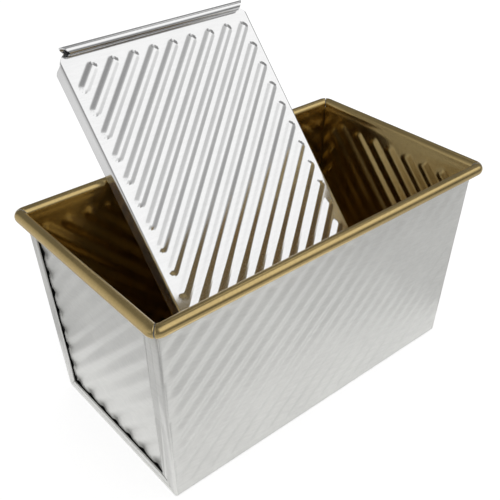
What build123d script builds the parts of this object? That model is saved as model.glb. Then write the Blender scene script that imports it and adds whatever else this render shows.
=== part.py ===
from build123d import *

import os
from math import asin, atan2, ceil, cos, degrees, floor, hypot, inf, radians, sin, tan

# A corrugated pullman loaf pan, with its slide-on lid leaning in the open pan.
# Millimetres. +X along the pan, +Y from the front wall to the back wall, +Z up.
# The origin is the centre of the flat underside.

# Pan
PAN_LENGTH = 208.0          # over the rolled rim
PAN_WIDTH = 118.0
PAN_HEIGHT = 111.0
BASE_LENGTH = 187.2         # over the outer faces at the table
BASE_WIDTH = 99.2
PAN_SHEET = 0.6
FOLD_RADIUS = 2.0           # outside radius of the folds along the bottom
FACE_CLEARANCE = 0.1        # between sheets that are crimped together

# Rolled rim
RIM_DIAMETER = 6.0
RIM_CORNER_RADIUS = 3.2     # of the roll's centre line
RIM_EDGE_ANGLE = 42.0       # how far under the roll its free edge stops
NECK_END = 4.2              # from the roll's corner to the end of the neck under it
MITRE_GAP = 0.5
WIRE_CLEARANCE = 0.2
RIM_SEAT = 0.1              # walls stop this far under the roll

# End bands, where the body sheet is hemmed over the end panels
BAND_WIDTH = 8.0
BAND_CORNER = 1.2

# Ribs, pressed at the same pitch and angle into every sheet
RIB_PITCH = 8.6
RIB_ANGLE = 45.0
RIB_WIDTH = 4.4             # across the mouth of the groove
RIB_DEPTH = 0.9
RIB_FLANK = 45.0            # of the flank from square to the sheet
RIB_END_CUT = 1.3           # chamfer of the groove's rounded ends
RIB_MARGIN = 2.8            # from the end of a groove to a fold or an edge
WALL_TOP_MARGIN = 5.5       # flat strip above the ribs of the front and back walls
PANEL_TOP_MARGIN = 4.0      # the same on the end panels
SHORTEST_RIB = 7.0
WALL_RIB_SHIFT = 2.3        # where the sheet was cut along the pattern, for each sheet
RIGHT_PANEL_RIB_SHIFT = 0.7
LEFT_PANEL_RIB_SHIFT = 0.3

# Lid
LID_WIDTH = 120.1
LID_LENGTH = 210.0
LID_SHEET = 0.8
LID_FLANGE = 9.7            # from the panel's outer face to the rail's lowest point
LID_FOLD_RADIUS = 2.5
LID_CURL_RADIUS = 1.6
LID_CURL_LENGTH = 2.0
LID_FLANGE_START = 8.0      # plain panel beyond the flanges at the lip end
LID_CORNER_RADIUS = 7.0
LID_TAIL_TRIM = 0.5         # rails start this far from the plain end
LIP_DIAMETER = 5.0
LIP_INSET = 2.7
LIP_EDGE_GAP = 0.2
LIP_END_SLANT = 4.0         # the roll is shorter at its free edge by this at each end
LID_RIB_PITCH = 8.72
LID_RIB_SHIFT = 5.0         # the lid's ribs stand up from its outer face
LID_SIDE_MARGIN = 4.0
LID_TOP_MARGIN = 5.5        # from the lip's free edge to the ribs
LID_TAIL_MARGIN = 6.0
HEM_WIDTH = 4.0

# Place of the lid, leaning in the pan with its lip up and to the back
LID_LEFT = -53.0            # lower left corner of the lid's outer face along X
LID_TILT = 40.66             # lean back from upright
LID_YAW = 0.33
LID_SPIN = 0.53
LID_REST_GAP = 0.3          # over the ribs of the floor and off the back rim

OVERRUN = 10.0              # how far a cutting tool runs past what it cuts


# Derived sizes of the pan
RIM_RADIUS = RIM_DIAMETER / 2
RIM_Z = PAN_HEIGHT - RIM_RADIUS
RIM_X = PAN_LENGTH / 2 - RIM_RADIUS
RIM_Y = PAN_WIDTH / 2 - RIM_RADIUS
WALL_TOP = PAN_HEIGHT - RIM_DIAMETER - RIM_SEAT
BAND_THICKNESS = 2 * PAN_SHEET                # the sheet is doubled in the bands
TOP_X = RIM_X - RIM_RADIUS + BAND_THICKNESS   # outer faces at the top of the walls
TOP_Y = RIM_Y - RIM_RADIUS + PAN_SHEET / 2
BASE_X = BASE_LENGTH / 2
BASE_Y = BASE_WIDTH / 2
END_LEAN = atan2(TOP_X - BASE_X, WALL_TOP)
SIDE_LEAN = atan2(TOP_Y - BASE_Y, WALL_TOP)
PARALLEL = 1e-12                              # least slope of a line across a window's side


def end_x(z, setback=0.0):
    """X of the outer face of the end bands at height z, less a setback square to it."""
    return BASE_X + z * tan(END_LEAN) - setback / cos(END_LEAN)


def side_y(z, setback=0.0):
    """Y of the outer face of the back wall at height z, less a setback square to it."""
    return BASE_Y + z * tan(SIDE_LEAN) - setback / cos(SIDE_LEAN)


# Ribs

def clip_to_convex(point, direction, corners):
    """The stretch of a line inside a convex outline given anticlockwise, or None."""
    low, high = -inf, inf
    for (ax, ay), (bx, by) in zip(corners, corners[1:] + corners[:1]):
        nx, ny = ay - by, bx - ax
        side = nx * (point[0] - ax) + ny * (point[1] - ay)
        rate = nx * direction[0] + ny * direction[1]
        if abs(rate) < PARALLEL:
            if side < 0:
                return None
            continue
        cut = -side / rate
        if rate > 0:
            low = max(low, cut)
        else:
            high = min(high, cut)
    if high <= low:
        return None
    return low, high


def rib_lines(corners, pitch, shift):
    """Centre lines (middle x, middle y, length) of the ribs that fit a window."""
    direction = (cos(radians(RIB_ANGLE)), sin(radians(RIB_ANGLE)))
    across = (-direction[1], direction[0])
    places = [across[0] * x + across[1] * y for x, y in corners]
    first = ceil((min(places) - shift) / pitch)
    last = floor((max(places) - shift) / pitch)
    lines = []
    for count in range(first, last + 1):
        place = shift + count * pitch
        point = (across[0] * place, across[1] * place)
        ends = clip_to_convex(point, direction, corners)
        if ends is None or ends[1] - ends[0] < SHORTEST_RIB:
            continue
        middle = (ends[0] + ends[1]) / 2
        lines.append((
            point[0] + middle * direction[0],
            point[1] + middle * direction[1],
            ends[1] - ends[0],
        ))
    return lines


def slot_outline(length, half_width, end_cut):
    """A long narrow outline with bullet ends, centred, along X."""
    half = length / 2
    quarter = [
        (half, half_width - end_cut),
        (half - end_cut, half_width),
    ]
    points = quarter + [(-x, y) for x, y in reversed(quarter)]
    points += [(-x, -y) for x, y in points]
    return make_face(Polyline(*points, close=True))


def press(solid, plane, corners, sheet, pitch, shift):
    """Press the ribs of one window into a flat sheet: a groove on one face, a ridge on the other.

    The plane lies on the face with the grooves, its Z out of it. The ridge over a
    groove is wider by the offset of the sheet's thickness on the sloping flank.
    """
    half = RIB_WIDTH / 2
    grow = sheet * tan(radians((90 - RIB_FLANK) / 2))
    ridges = []
    grooves = []
    for x, y, length in rib_lines(corners, pitch, shift):
        place = plane * Pos(x, y, 0) * Rot(0, 0, RIB_ANGLE)
        mouth = slot_outline(length, half, RIB_END_CUT)
        root = slot_outline(length + 2 * grow, half + grow, RIB_END_CUT)
        groove = extrude(mouth, amount=-RIB_DEPTH, taper=RIB_FLANK)
        ridge = extrude(root, amount=-RIB_DEPTH, taper=RIB_FLANK)
        grooves.append(place * groove)
        ridges.append(place * Pos(0, 0, -sheet) * ridge)
    return solid + ridges - grooves


def inset(corners, margins):
    """Move each side of a convex anticlockwise outline inward by its own margin."""
    lines = []
    for (ax, ay), (bx, by), margin in zip(corners, corners[1:] + corners[:1], margins):
        length = hypot(bx - ax, by - ay)
        nx, ny = (ay - by) / length, (bx - ax) / length
        lines.append((nx, ny, nx * ax + ny * ay + margin))
    moved = []
    for (a1, b1, c1), (a2, b2, c2) in zip(lines[-1:] + lines[:-1], lines):
        det = a1 * b2 - a2 * b1
        moved.append(((c1 * b2 - c2 * b1) / det, (a1 * c2 - a2 * c1) / det))
    return moved


# Rolled rim

def ring_sector(start, end):
    """Section of the rolled edge about its own centre, from one angle to another."""
    outer = RIM_RADIUS
    inner = RIM_RADIUS - PAN_SHEET
    edges = [
        CenterArc((0, 0), outer, start, end - start),
        CenterArc((0, 0), inner, start, end - start),
    ]
    caps = [
        Line(edges[0] @ 0, edges[1] @ 0),
        Line(edges[0] @ 1, edges[1] @ 1),
    ]
    return make_face(Wire(edges + caps))


def roll(half_run):
    """The roll of one side: a straight run and half of each rounded corner.

    Its centre line lies on X, and the pan is on its +Y side.
    """
    section = mirror(ring_sector(-180 + RIM_EDGE_ANGLE, 180), Plane.YZ)
    straight = half_run - RIM_CORNER_RADIUS
    length = extrude(Plane.YZ * section, amount=straight, both=True)
    slit = Box(PAN_WIDTH, MITRE_GAP, PAN_HEIGHT)
    for side in (-1, 1):
        corner = (side * straight, RIM_CORNER_RADIUS, 0)
        start = Plane((side * straight, 0, 0), x_dir=(0, 1, 0), z_dir=(1, 0, 0))
        length += revolve(start * section, Axis(corner, (0, 0, side)), 45)
        length -= Pos(*corner) * Rot(0, 0, -side * 45) * slit
    return length


def rolled_edge(half_run, wall_inside):
    """Roll of one side with the neck of sheet that joins it to the wall below.

    The wall's inner face is at wall_inside from the roll's centre, at the wall's top.
    """
    drop = WALL_TOP - RIM_Z
    points = [
        (wall_inside - PAN_SHEET, drop),
        (RIM_RADIUS - PAN_SHEET, 0),
        (RIM_RADIUS, 0),
        (wall_inside, drop),
    ]
    neck = make_face(Polyline(*points, close=True))
    return roll(half_run) + extrude(Plane.YZ * neck, amount=half_run - NECK_END, both=True)


# Body sheet: front wall, bottom and back wall in one piece, with a band hemmed at each end

def channel(setback):
    """Section of the trough in Y and Z, with all its faces set in by a setback."""
    low = setback
    points = [
        (-side_y(WALL_TOP, setback), WALL_TOP),
        (-side_y(low, setback), low),
        (side_y(low, setback), low),
        (side_y(WALL_TOP, setback), WALL_TOP),
    ]
    face = make_face(Polyline(*points, close=True))
    lowest = face.vertices().group_by(Axis.Y)[0]
    return fillet(lowest, FOLD_RADIUS - setback)


def between_ends(setback):
    """Solid between the two leaning end planes, set in by a setback."""
    points = [
        (-end_x(-OVERRUN, setback), -OVERRUN),
        (end_x(-OVERRUN, setback), -OVERRUN),
        (end_x(WALL_TOP + OVERRUN, setback), WALL_TOP + OVERRUN),
        (-end_x(WALL_TOP + OVERRUN, setback), WALL_TOP + OVERRUN),
    ]
    face = make_face(Polyline(*points, close=True))
    return extrude(Plane.XZ * face, amount=PAN_WIDTH, both=True)


def band_window():
    """Opening inside the end bands, in Y and Z, with small corners."""
    low = BAND_WIDTH
    points = [
        (-side_y(WALL_TOP + OVERRUN, BAND_WIDTH), WALL_TOP + OVERRUN),
        (-side_y(low, BAND_WIDTH), low),
        (side_y(low, BAND_WIDTH), low),
        (side_y(WALL_TOP + OVERRUN, BAND_WIDTH), WALL_TOP + OVERRUN),
    ]
    face = make_face(Polyline(*points, close=True))
    lowest = face.vertices().group_by(Axis.Y)[0]
    face = chamfer(lowest, BAND_CORNER)
    return extrude(Plane.YZ * face, amount=PAN_LENGTH, both=True)


def side_plane(side):
    """Plane on the outer face of the front (-1) or back (1) wall, X to its right."""
    return Plane(
        origin=(0, side * BASE_Y, 0),
        x_dir=(-side, 0, 0),
        z_dir=(0, side * cos(SIDE_LEAN), -sin(SIDE_LEAN)),
    )


def body_sheet():
    """The trough, its bands and its long rims. The ribs run on from wall to floor to wall."""
    outer = extrude(Plane.YZ * channel(0), amount=PAN_LENGTH, both=True)
    inner = extrude(Plane.YZ * channel(PAN_SHEET), amount=PAN_LENGTH, both=True)
    hull = outer & between_ends(0)
    sheet = hull - inner
    bands = (hull - between_ends(BAND_THICKNESS)) - band_window()
    sheet += bands

    slant = WALL_TOP / cos(SIDE_LEAN)
    wall = [
        (-BASE_X, 0),
        (BASE_X, 0),
        (end_x(WALL_TOP), slant),
        (-end_x(WALL_TOP), slant),
    ]
    window = inset(wall, [RIB_MARGIN, RIB_MARGIN, WALL_TOP_MARGIN, RIB_MARGIN])
    across_floor = BASE_WIDTH * cos(radians(RIB_ANGLE))
    for side, shift in ((-1, WALL_RIB_SHIFT), (1, -WALL_RIB_SHIFT - across_floor)):
        sheet = press(sheet, side_plane(side), window, PAN_SHEET, RIB_PITCH, shift)
    floor_plane = Plane(origin=(0, 0, 0), x_dir=(1, 0, 0), z_dir=(0, 0, -1))
    base = [
        (-BASE_X, -BASE_Y),
        (BASE_X, -BASE_Y),
        (BASE_X, BASE_Y),
        (-BASE_X, BASE_Y),
    ]
    window = inset(base, [RIB_MARGIN] * len(base))
    shift = WALL_RIB_SHIFT + across_floor / 2
    sheet = press(sheet, floor_plane, window, PAN_SHEET, RIB_PITCH, shift)

    rim = Pos(0, -RIM_Y, RIM_Z) * rolled_edge(RIM_X, RIM_Y - side_y(WALL_TOP, PAN_SHEET))
    return sheet + rim + Rot(0, 0, 180) * rim


# End panel: a flat ribbed sheet held behind the bands, with its top edge rolled

def end_panel(shift):
    """The panel of the right end, with its ribs' place on the sheet."""
    outer = extrude(Plane.YZ * channel(PAN_SHEET + FACE_CLEARANCE), amount=PAN_LENGTH, both=True)
    slab = between_ends(BAND_THICKNESS) - between_ends(BAND_THICKNESS + PAN_SHEET)
    right = Pos(PAN_LENGTH / 2, 0, PAN_HEIGHT / 2) * Box(PAN_LENGTH, PAN_LENGTH, 2 * PAN_HEIGHT)
    panel = outer & slab & right

    low = PAN_SHEET + FACE_CLEARANCE
    plane = Plane(
        origin=(end_x(0, BAND_THICKNESS), 0, 0),
        x_dir=(0, 1, 0),
        z_dir=(cos(END_LEAN), 0, -sin(END_LEAN)),
    )
    slant = 1 / cos(END_LEAN)
    corners = [
        (-side_y(low, low), low * slant),
        (side_y(low, low), low * slant),
        (side_y(WALL_TOP, low), WALL_TOP * slant),
        (-side_y(WALL_TOP, low), WALL_TOP * slant),
    ]
    window = inset(corners, [RIB_MARGIN, RIB_MARGIN, PANEL_TOP_MARGIN, RIB_MARGIN])
    panel = press(panel, plane, window, PAN_SHEET, RIB_PITCH, shift)

    edge = rolled_edge(RIM_Y, RIM_X - end_x(WALL_TOP, BAND_THICKNESS + PAN_SHEET))
    return panel + Rot(0, 0, 90) * Pos(0, -RIM_X, RIM_Z) * edge


# Steel wire inside the rolled rim

def rim_wire():
    path = Plane(origin=(0, 0, RIM_Z)) * RectangleRounded(2 * RIM_X, 2 * RIM_Y, RIM_CORNER_RADIUS)
    loop = path.wire()
    section = Plane(origin=loop @ 0, z_dir=loop % 0) * Circle(RIM_RADIUS - PAN_SHEET - WIRE_CLEARANCE)
    return sweep(section, path=loop)


# Lid: a ribbed panel with two curled rails and a rolled lip, in its own frame.
# X runs across it, Y along it to the lip, Z out of its outer face.

def rail_section():
    """Section across the lid: the panel, two folds, two flanges and their curled edges."""
    half = LID_WIDTH / 2
    radius = LID_FOLD_RADIUS
    curl = LID_CURL_RADIUS
    line = Line((0, 0), (half - radius, 0))
    fold = CenterArc((half - radius, -radius), radius, 90, -90)
    flange = Line((half, -radius), (half, -LID_FLANGE + curl))
    turn = CenterArc((half - curl, -LID_FLANGE + curl), curl, 0, -90)
    tip = Line((half - curl, -LID_FLANGE), (half - curl - LID_CURL_LENGTH, -LID_FLANGE))
    outer = [line, fold, flange, turn, tip]
    inner = [
        Line((0, -LID_SHEET), (half - radius, -LID_SHEET)),
        CenterArc((half - radius, -radius), radius - LID_SHEET, 90, -90),
        Line((half - LID_SHEET, -radius), (half - LID_SHEET, -LID_FLANGE + curl)),
        CenterArc((half - curl, -LID_FLANGE + curl), curl - LID_SHEET, 0, -90),
        Line(
            (half - curl, -LID_FLANGE + LID_SHEET),
            (half - curl - LID_CURL_LENGTH, -LID_FLANGE + LID_SHEET),
        ),
    ]
    caps = [
        Line((0, 0), (0, -LID_SHEET)),
        Line(tip @ 1, inner[-1] @ 1),
    ]
    right = make_face(Wire(outer + inner + caps))
    return right + mirror(right, Plane.YZ)


def lip_roll():
    """The rolled lip on the outer face, its free edge just clear of the panel."""
    radius = LIP_DIAMETER / 2
    bore = radius - LID_SHEET
    centre = (LID_LENGTH - radius, radius - LID_SHEET)
    turn = 270 + degrees(asin((centre[1] - LIP_EDGE_GAP) / radius))
    outer = CenterArc(centre, radius, -90, turn)
    inner = CenterArc(centre, bore, -90, turn)
    caps = [
        Line(outer @ 0, inner @ 0),
        Line(outer @ 1, inner @ 1),
    ]
    section = make_face(Wire([outer, inner] + caps))
    half = LID_WIDTH / 2 - LIP_INSET
    outline = [
        (-half, LID_LENGTH),
        (-half + LIP_END_SLANT, LID_LENGTH - LIP_DIAMETER),
        (half - LIP_END_SLANT, LID_LENGTH - LIP_DIAMETER),
        (half, LID_LENGTH),
    ]
    ends = extrude(make_face(Polyline(*outline, close=True)), amount=LIP_DIAMETER, both=True)
    return extrude(Plane.YZ * section, amount=half, both=True) & ends


def lid():
    rails = extrude(Plane.XZ * rail_section(), amount=-LID_LENGTH)
    top = LID_LENGTH - LIP_DIAMETER / 2
    side = LID_LENGTH - LID_FLANGE_START
    depth = LID_FLANGE + LID_SHEET
    cutter = Box(LID_WIDTH + OVERRUN, OVERRUN + LID_FLANGE_START, depth)
    rails -= Pos(0, side + (OVERRUN + LID_FLANGE_START) / 2, -LID_SHEET - depth / 2) * cutter
    end = Box(LID_WIDTH + OVERRUN, 2 * LID_TAIL_TRIM, depth)
    rails -= Pos(0, 0, -LID_SHEET - depth / 2) * end
    past = Box(LID_WIDTH + OVERRUN, LIP_DIAMETER, LID_WIDTH)
    rails -= Pos(0, top + LIP_DIAMETER / 2, 0) * past
    rails -= lip_corner(1)
    rails -= lip_corner(-1)
    plate = rails + lip_roll()
    plate += tail_hem()

    half = LID_WIDTH / 2
    free_edge = LID_LENGTH - LIP_DIAMETER
    corners = [
        (0, -half),
        (free_edge, -half),
        (free_edge, half),
        (0, half),
    ]
    window = inset(corners, [LID_SIDE_MARGIN, LID_TOP_MARGIN, LID_SIDE_MARGIN, LID_TAIL_MARGIN])
    under = Plane(origin=(0, 0, -LID_SHEET), x_dir=(0, 1, 0), z_dir=(0, 0, -1))
    return press(plate, under, window, LID_SHEET, LID_RIB_PITCH, -LID_RIB_SHIFT)


def lip_corner(side):
    """What is trimmed off the corner of the blank beside the lip."""
    half = LID_WIDTH / 2
    radius = LID_CORNER_RADIUS
    top = LID_LENGTH - LIP_DIAMETER / 2
    centre = (half - radius, top - radius)
    arc = CenterArc(centre, radius, 0, 90)
    corner = [
        Line(arc @ 1, (centre[0], top + OVERRUN)),
        Line((centre[0], top + OVERRUN), (half + OVERRUN, top + OVERRUN)),
        Line((half + OVERRUN, top + OVERRUN), (half + OVERRUN, centre[1])),
        Line((half + OVERRUN, centre[1]), arc @ 0),
    ]
    face = make_face(Wire([arc] + corner))
    piece = extrude(face, amount=LID_WIDTH, both=True)
    return piece if side > 0 else mirror(piece, Plane.YZ)


def tail_hem():
    """A flat hem folded under the plain end, between the rails."""
    width = LID_WIDTH - 2 * (LID_FOLD_RADIUS + LID_CURL_RADIUS)
    under = Pos(0, HEM_WIDTH / 2, -LID_SHEET * 3 / 2) * Box(width, HEM_WIDTH, LID_SHEET)
    return under


def lid_axes():
    """Unit vectors across the lid, along it to the lip, and out of its outer face."""
    tilt, yaw, spin = radians(LID_TILT), radians(LID_YAW), radians(LID_SPIN)
    across = (cos(yaw), sin(yaw), 0)
    along = (-sin(tilt) * sin(yaw), sin(tilt) * cos(yaw), cos(tilt))
    u = [cos(spin) * a + sin(spin) * b for a, b in zip(across, along)]
    v = [cos(spin) * b - sin(spin) * a for a, b in zip(across, along)]
    n = [
        u[1] * v[2] - u[2] * v[1],
        u[2] * v[0] - u[0] * v[2],
        u[0] * v[1] - u[1] * v[0],
    ]
    return u, v, n


def lid_plane():
    """Where the lid stands: on the floor's ribs, with its rails against the back roll."""
    u, v, n = lid_axes()
    corners = [
        [a * x + b * z for a, b in zip(u, n)]
        for x in (0, LID_WIDTH)
        for z in (0, -LID_FLANGE)
    ]
    floor_z = PAN_SHEET + RIB_DEPTH + LID_REST_GAP
    origin_z = floor_z - min(corner[2] for corner in corners)
    square = (v[2] ** 2 + v[1] ** 2) ** 0.5
    normal = (-v[2] / square, v[1] / square)
    reach = RIM_RADIUS + LID_REST_GAP
    rests = []
    for x in (0, LID_WIDTH):
        base_y = x * u[1] - LID_FLANGE * n[1]
        base_z = origin_z + x * u[2] - LID_FLANGE * n[2]
        over = (base_y - RIM_Y) * normal[0] + (base_z - RIM_Z) * normal[1]
        rests.append((reach - over) / normal[0])
    origin_y = min(rests)
    middle = [LID_WIDTH / 2 * a for a in u]
    origin = (LID_LEFT + middle[0], origin_y + middle[1], origin_z + middle[2])
    return Plane(origin=origin, x_dir=tuple(u), z_dir=tuple(n))


def write(solid, name):
    """Write one node as a STEP file."""
    solid.label = name
    export_step(solid, "parts/" + name + ".step")


def main():
    os.makedirs("parts", exist_ok=True)
    write(body_sheet(), "body_sheet")
    write(end_panel(RIGHT_PANEL_RIB_SHIFT), "right_end_panel")
    write(Rot(0, 0, 180) * end_panel(LEFT_PANEL_RIB_SHIFT), "left_end_panel")
    write(rim_wire(), "rim_wire")
    write(lid_plane() * lid(), "lid")


main()
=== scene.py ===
"""A loaf pan of ribbed sheet with its lid leaning in it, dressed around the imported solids.

Metres, and degrees for the angles named below. +X along the pan, +Y from the front wall
to the back wall, +Z up.
"""

from math import atan2, cos, pi, radians, sin, sqrt, tan

import bpy
import numpy as np
from bpy.props import FloatProperty, FloatVectorProperty, PointerProperty
from bpy.types import Operator, Panel, PropertyGroup
from mathutils import Matrix, Vector


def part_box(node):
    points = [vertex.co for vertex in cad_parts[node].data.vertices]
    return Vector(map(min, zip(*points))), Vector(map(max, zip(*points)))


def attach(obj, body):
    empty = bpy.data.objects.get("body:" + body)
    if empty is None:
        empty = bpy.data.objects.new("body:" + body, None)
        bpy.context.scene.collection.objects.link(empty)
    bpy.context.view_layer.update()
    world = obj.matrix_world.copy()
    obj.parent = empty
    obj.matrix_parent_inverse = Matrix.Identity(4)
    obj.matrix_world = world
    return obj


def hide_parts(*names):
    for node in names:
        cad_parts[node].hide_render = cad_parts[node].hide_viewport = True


bl_info = {
    "name": "Loaf pan with lid",
    "version": (1, 0, 0),
    "blender": (4, 5, 0),
    "location": "View3D > Sidebar > Loaf pan",
    "description": "Ribbed loaf pan, its lid and a pale studio around them",
    "category": "Object",
}

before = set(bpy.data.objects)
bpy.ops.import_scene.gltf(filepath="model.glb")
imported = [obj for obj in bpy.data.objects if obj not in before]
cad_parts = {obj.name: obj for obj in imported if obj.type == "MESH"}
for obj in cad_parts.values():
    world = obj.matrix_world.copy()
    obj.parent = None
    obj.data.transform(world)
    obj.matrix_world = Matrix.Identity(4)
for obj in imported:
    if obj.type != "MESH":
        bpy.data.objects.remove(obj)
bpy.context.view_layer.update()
MM = 0.001

# Places closer than this are one, a step too small to matter, and what is added to a
# limit so that it holds nothing
WELD = 0.0001 * MM
NUDGE = 1e-9
UNLIMITED = 1.0

# Pan sizes that the frame holds
PAN_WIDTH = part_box("body_sheet")[1].y * 2
PAN_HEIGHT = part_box("body_sheet")[1].z
PAN_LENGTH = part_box("right_end_panel")[1].x * 2

# Pan
BASE_LENGTH = 187.2 * MM
BASE_WIDTH = 99.2 * MM
SHEET = 0.6 * MM
FOLD_RADIUS = 2.0 * MM
CRIMP_GAP = 0.1 * MM
RIM_RADIUS = 3.0 * MM
RIM_CORNER = 3.2 * MM
RIM_SEAT = 0.1 * MM
RIM_SWEEP = 318.0
MITRE_GAP = 0.5 * MM
BAND_WIDTH = 8.0 * MM
FRONT_BAND_WIDTH = 9.6 * MM
BAND_HEM = 0.42 * MM
BAND_BEAD = 0.30 * MM
BAND_CREASE = 0.12 * MM
BAND_CREASE_HALF = 0.25 * MM
BAND_GAP_DEPTH = 3.8 * MM

# Ribs
RIB_PITCH = 8.6 * MM
RIB_DEPTH = 0.9 * MM
RIB_HALF_WIDTH = 4.0 * MM
RIB_CREST = 0.4 * MM
RIB_END = 2.2 * MM
RIB_ROUNDING = (0.10, 0.14)
RIB_MARGIN = 3.4 * MM
WALL_TOP_MARGIN = 5.5 * MM
PANEL_TOP_MARGIN = 5.0 * MM
PANEL_SIDE_MARGIN = 6.4 * MM
SHORTEST_RIB = 7.0 * MM
WALL_RIB_SHIFT = 2.3 * MM
RIGHT_RIB_SHIFT = 0.7 * MM
LEFT_RIB_SHIFT = 0.3 * MM

# Grids: cells across a rib's pitch on the body sheet and on the rest, rows up the neck,
# round the rim's roll and round the lip, columns at a rim corner, and cuts of the rails
WALL_CELLS = 9
FINE_CELLS = 14
NECK_ROWS = 4
ROLL_ROWS = 30
LIP_ROWS = 24
CORNER_COLUMNS = 6
RAIL_CUTS = (9, 4, 9, 2)

# Lid
LID_WIDTH = 120.1 * MM
LID_LENGTH = 210.0 * MM
LID_SHEET = 0.8 * MM
LID_FLANGE = 9.7 * MM
LID_FOLD = 1.6 * MM
LID_CURL = 1.6 * MM
LID_CURL_LENGTH = 2.0 * MM
LID_FLANGE_START = 8.0 * MM
LID_FLANGE_ROUND = 6.0 * MM
LID_CORNER = 7.0 * MM
LID_TAIL_TRIM = 0.5 * MM
LIP_RADIUS = 2.5 * MM
LIP_INSET = 2.7 * MM
LIP_SLANT = 4.0 * MM
LIP_SWEEP = 307.0
LID_RIB_PITCH = 8.72 * MM
LID_RIB_SHIFT = 5.0 * MM
LID_RIB_HALF_WIDTH = LID_RIB_PITCH * 5.5 / FINE_CELLS
LID_RIB_CREST = 0.0
LID_RIB_DEPTH = 0.87 * MM
LID_RIB_ROUNDING = (0.02, 0.25)
LID_CREASE = 16.0
LID_SIDE_MARGIN = 5.0 * MM
LID_TOP_MARGIN = 6.0 * MM
LID_TAIL_MARGIN = 6.0 * MM
HEM_WIDTH = 4.0 * MM

# Place of the lid in the pan
LID_LEFT = -53.0 * MM
LID_TILT = 40.66
LID_YAW = 0.33
LID_SPIN = 0.53
LID_REST_GAP = 0.3 * MM

# Camera, as fitted to the photograph
CAMERA_AZIMUTH = -40.153
CAMERA_ELEVATION = 34.058
CAMERA_ROLL = -0.21
CAMERA_TARGET = (40.373 * MM, 55.741 * MM, 26.319 * MM)
CAMERA_DISTANCE = 481.668 * MM
CAMERA_LENS = 55.479

# Metals: stretch of the streaks, spread of roughness, spread of tone, height of the
# grain in millimetres, and how far the surface is metal in place of pale and matt
WALL_FINISH = ((0.1, 1.0, 1.0), 0.05, 0.07, 0.03, 0.45)
END_FINISH = ((1.0, 0.1, 1.0), 0.05, 0.06, 0.03, 0.7)
LID_FINISH = ((0.1, 1.0, 1.0), 0.04, 0.03, 0.008, 0.94)
COATING_FINISH = ((1.0, 1.0, 1.0), 0.05, 0.10, 0.03, 1.0)
WIRE_FINISH = ((1.0, 1.0, 1.0), 0.05, 0.08, 0.03, 1.0)
WIRE_ROUGHNESS = 0.35
# Painted shade: near-black dull metal on the end panels where the bands cover them, standing in
# for the shadow in the gap under the bands
BAND_GAP_SHADE_GREY = (0.03, 0.03, 0.03)
BAND_GAP_SHADE_ROUGHNESS = 0.60

# Studio as the metal sees it: greys of the dim walls by height angle, then each
# softbox's azimuths, soft edge and greys by height angle
DOME_RADIUS = 2.5
DOME_COLUMNS = 120
DOME_ROWS = 46
FLOOR_RINGS = 15
WALL_LEVELS = (
    (0.0, 6.0, 20.0, 38.0, 50.0, 60.0, 90.0),
    (0.20, 0.22, 0.20, 0.20, 0.25, 0.20, 0.12))
SOFTBOXES = (
    (-12.0, 74.0, 10.0, (
        (0.0, 5.0, 9.0, 13.0, 17.0, 21.0, 24.0, 27.0, 30.0, 62.0, 66.0, 70.0, 76.0, 80.0,
         90.0),
        (0.08, 0.14, 0.24, 0.32, 0.42, 0.54, 0.66, 0.86, 1.05, 1.00, 0.72, 0.56, 0.34,
         0.24, 0.12))),
    (-150.0, -62.0, 12.0, (
        (0.0, 18.0, 33.0, 50.0, 90.0),
        (0.66, 0.54, 0.42, 0.26, 0.12))),
    (104.0, 128.0, 10.0, (
        (0.0, 20.0, 44.0, 51.0, 58.0, 64.0, 90.0),
        (0.20, 0.20, 0.22, 0.70, 0.70, 0.25, 0.12))),
)
# Floor as the metal sees it: greys by distance from the pan, then the azimuths and soft
# edge of a dark cloth laid in front, and its greys
FLOOR_GREYS = ((0.13, 0.20, 0.34, 0.60, 2.50), (0.52, 0.60, 0.74, 0.66, 0.62))
CLOTH = (-75.0, 52.0, 30.0, (
    (0.13, 0.18, 0.26, 0.60, 2.50),
    (0.62, 0.60, 0.56, 0.28, 0.10)))

# Floor and world as the camera sees them, and the lamps: place, size and radiance
FLOOR_REACH = 3.0
FLOOR_DROP = 0.2 * MM
FLOOR_GREY = (0.40, 0.40, 0.40)
FLOOR_GLOW = 0.72
WORLD_LIGHT = 0.80
LAMPS = (
    ("key_softbox", (-0.5, -0.9, 1.5), 0.9, 0.9, 1.2),
    ("side_softbox", (1.3, -0.4, 0.9), 0.7, 0.9, 1.0),
)

# Derived sizes
ROOT2 = sqrt(2.0)
RIM_Z = PAN_HEIGHT - RIM_RADIUS
RIM_X = PAN_LENGTH / 2 - RIM_RADIUS
RIM_Y = PAN_WIDTH / 2 - RIM_RADIUS
WALL_TOP = PAN_HEIGHT - 2 * RIM_RADIUS - RIM_SEAT
BAND_DEPTH = 2 * SHEET
TOP_X = RIM_X - RIM_RADIUS + BAND_DEPTH
TOP_Y = RIM_Y - RIM_RADIUS + SHEET / 2
BASE_X = BASE_LENGTH / 2
BASE_Y = BASE_WIDTH / 2
END_LEAN = atan2(TOP_X - BASE_X, WALL_TOP)
SIDE_LEAN = atan2(TOP_Y - BASE_Y, WALL_TOP)
FOLD_TURN = pi / 2 - SIDE_LEAN
FOLD_REACH = FOLD_RADIUS * tan(FOLD_TURN / 2)
BAND_MITRE = MITRE_GAP / 4
BAND_ANGLES = np.linspace(0.0, FOLD_TURN / 2 - BAND_MITRE / FOLD_RADIUS, 5)
RAIL_RUNS = (
    LID_WIDTH / 2 - LID_FOLD, LID_FOLD * pi / 2, LID_FLANGE - LID_FOLD - LID_CURL,
    LID_CURL * pi / 2, LID_CURL_LENGTH)
RAIL_GIRTH = sum(RAIL_RUNS)


# Sizes and finishes that a user would change

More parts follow.
